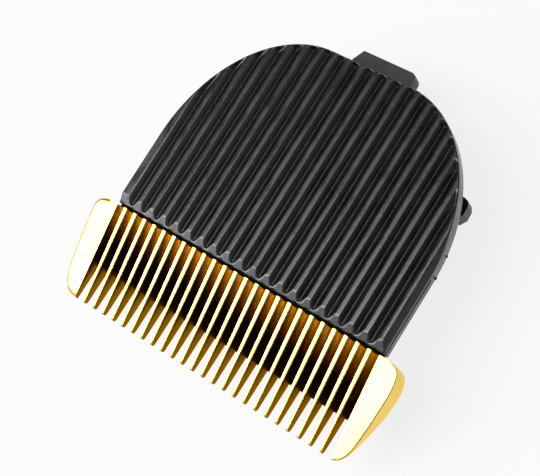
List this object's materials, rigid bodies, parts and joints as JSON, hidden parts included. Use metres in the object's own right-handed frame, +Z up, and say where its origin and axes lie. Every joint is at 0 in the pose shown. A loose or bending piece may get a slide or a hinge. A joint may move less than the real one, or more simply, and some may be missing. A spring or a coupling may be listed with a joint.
{
  "type": "hair clipper blade head",
  "caption": "Push-fit hair clipper blade head: ribbed D-shaped cover, gold-coated toothed fixed blade, black moving blade on a sprung carrier and length-adjusting slide.",
  "frame": {"origin": "centre of the head's box, on the surface that the chassis walls stand on", "axes": "+X along the row of teeth, +Y from the tooth tips towards the rear tongue, +Z up out of the ribbed cover"},
  "size_m": [0.046, 0.0438, 0.0106],
  "materials": {
    "ribbed_plastic": "satin moulded black plastic",
    "frame_plastic": "satin moulded black plastic",
    "gold_blade": "ground steel with a gold titanium nitride coating",
    "black_ceramic": "ground black zirconia",
    "nylon": "natural nylon",
    "steel": "bright zinc-plated steel"
  },
  "bodies": {
    "head": {"ribbed_cover": "ribbed_plastic", "chassis": "frame_plastic", "fixed_blade": "gold_blade", "guide_rail": "steel", "blade_screw_left": "steel", "blade_screw_right": "steel", "rail_screw_left": "steel", "rail_screw_right": "steel", "cover_screw_left": "steel", "cover_screw_right": "steel", "cover_screw_rear": "steel", "detent_screw": "steel", "detent_spring": "steel"},
    "slide": {"adjust_slide": "frame_plastic", "spring_left": "steel", "spring_right": "steel", "spring_retainer_left": "steel", "spring_retainer_right": "steel"},
    "cutter": {"moving_blade": "black_ceramic", "blade_carrier": "frame_plastic", "drive_yoke": "nylon", "carrier_pin_left": "steel", "carrier_pin_right": "steel"}
  },
  "joints": [
    {"name": "cutting_length", "type": "slide", "parent": "head", "child": "slide", "axis": [0, -1, 0], "range_m": [0, 0.0038]},
    {"name": "blade_stroke", "type": "slide", "parent": "slide", "child": "cutter", "axis": [1, 0, 0], "range_m": [-0.0013, 0.0013]}
  ]
}
